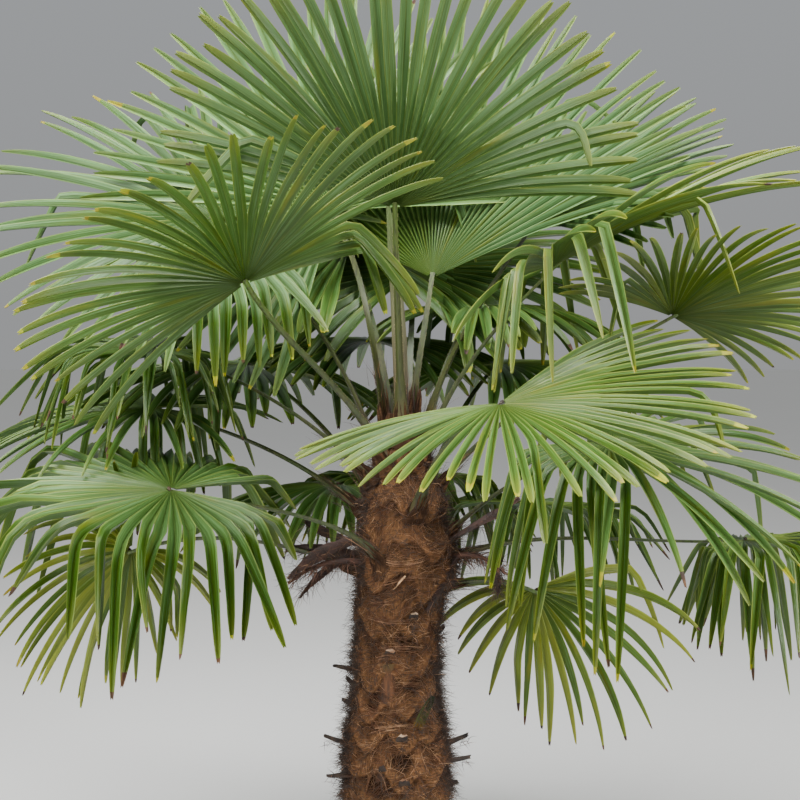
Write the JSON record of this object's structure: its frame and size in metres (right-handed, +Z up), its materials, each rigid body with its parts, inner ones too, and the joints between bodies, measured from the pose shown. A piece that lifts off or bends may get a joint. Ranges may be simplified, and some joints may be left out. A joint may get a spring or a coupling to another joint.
{
  "type": "windmill palm",
  "caption": "Young windmill palm: a short trunk clad in brown fibre and old leaf stubs, under a full crown of pleated, fan-shaped fronds on long stalks.",
  "frame": {"origin": "middle of the flat cut under the trunk, at ground level", "axes": "+Z up along the trunk, -Y towards the front, the side that the picture shows, +X to the right as seen from the front"},
  "size_m": [2.2829, 1.9281, 2.3115],
  "materials": {
    "trunk_fibre": "matted brown fibre over old leaf sheaths",
    "dry_stalk": "dry, matt",
    "spear_leaf": "satin, downy edges",
    "young_leaf": "satin leaf",
    "open_leaf": "satin leaf",
    "arching_leaf": "satin leaf",
    "folded_leaf": "satin leaf"
  },
  "bodies": {
    "root": {"frond_back_left_low": "arching_leaf", "frond_back_low_1": "folded_leaf", "frond_back_low_1_skirt_1": "folded_leaf", "frond_back_low_1_skirt_2": "folded_leaf", "frond_back_low_2": "folded_leaf", "frond_back_low_2_skirt_1": "folded_leaf", "frond_back_low_2_skirt_2": "folded_leaf", "frond_back_middle_1": "arching_leaf", "frond_back_middle_2": "arching_leaf", "frond_back_middle_3": "arching_leaf", "frond_back_upper_1": "open_leaf", "frond_back_upper_2": "open_leaf", "frond_far_right": "open_leaf", "frond_front_left": "open_leaf", "frond_front_right": "open_leaf", "frond_left_folded": "folded_leaf", "frond_left_folded_skirt_1": "folded_leaf", "frond_left_folded_skirt_2": "folded_leaf", "frond_low_left": "arching_leaf", "frond_low_right": "arching_leaf", "frond_mid_left": "folded_leaf", "frond_mid_left_behind": "open_leaf", "frond_mid_left_skirt_1": "folded_leaf", "frond_mid_left_skirt_2": "folded_leaf", "frond_right": "open_leaf", "frond_right_behind": "arching_leaf", "frond_right_folded": "folded_leaf", "frond_right_folded_skirt_1": "folded_leaf", "frond_right_folded_skirt_2": "folded_leaf", "frond_top_back_left": "open_leaf", "frond_top_back_right": "young_leaf", "frond_top_front": "young_leaf", "frond_upper_left": "open_leaf", "frond_upper_right": "open_leaf", "frond_upper_right_back": "young_leaf", "old_flower_stalk_left": "dry_stalk", "old_flower_stalk_right": "dry_stalk", "spear_leaf": "spear_leaf", "trunk": "trunk_fibre"}
  },
  "joints": []
}
